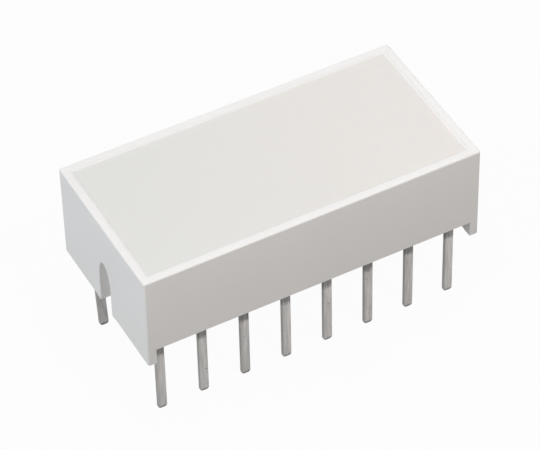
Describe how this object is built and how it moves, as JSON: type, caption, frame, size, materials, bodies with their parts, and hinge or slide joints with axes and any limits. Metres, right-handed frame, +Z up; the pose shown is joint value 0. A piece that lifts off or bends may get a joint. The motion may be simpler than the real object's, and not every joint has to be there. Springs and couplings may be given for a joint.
{
  "type": "led light bar in a dual in-line package",
  "caption": "Rectangular white LED light bar with one undivided light-emitting face, a thin raised rim, and two rows of straight through-hole leads.",
  "frame": {"origin": "centre of the lead pattern on the seating plane, where the feet meet the circuit board", "axes": "+X along the long side, +Y across the two rows of leads, +Z up out of the light-emitting face; lead 1 is at -X -Y and the numbers run anticlockwise seen from above"},
  "size_m": [0.02, 0.01, 0.0109],
  "materials": {
    "housing_plastic": "white moulded, fine matt",
    "milky_epoxy": "milky cast epoxy, matt",
    "tinned_lead": "satin tin plate",
    "semiconductor": "sawn, polished top",
    "silver_epoxy": "matt silver-filled",
    "gold_wire": "drawn"
  },
  "bodies": {
    "root": {"housing": "housing_plastic", "epoxy_fill": "milky_epoxy", "lead_01": "tinned_lead", "lead_02": "tinned_lead", "lead_03": "tinned_lead", "lead_04": "tinned_lead", "lead_05": "tinned_lead", "lead_06": "tinned_lead", "lead_07": "tinned_lead", "lead_08": "tinned_lead", "lead_09": "tinned_lead", "lead_10": "tinned_lead", "lead_11": "tinned_lead", "lead_12": "tinned_lead", "lead_13": "tinned_lead", "lead_14": "tinned_lead", "lead_15": "tinned_lead", "lead_16": "tinned_lead", "led_chip_1": "semiconductor", "led_chip_2": "semiconductor", "led_chip_3": "semiconductor", "led_chip_4": "semiconductor", "led_chip_5": "semiconductor", "led_chip_6": "semiconductor", "led_chip_7": "semiconductor", "led_chip_8": "semiconductor", "die_attach_1": "silver_epoxy", "die_attach_2": "silver_epoxy", "die_attach_3": "silver_epoxy", "die_attach_4": "silver_epoxy", "die_attach_5": "silver_epoxy", "die_attach_6": "silver_epoxy", "die_attach_7": "silver_epoxy", "die_attach_8": "silver_epoxy", "bond_wire_1": "gold_wire", "bond_wire_2": "gold_wire", "bond_wire_3": "gold_wire", "bond_wire_4": "gold_wire", "bond_wire_5": "gold_wire", "bond_wire_6": "gold_wire", "bond_wire_7": "gold_wire", "bond_wire_8": "gold_wire"}
  },
  "joints": []
}
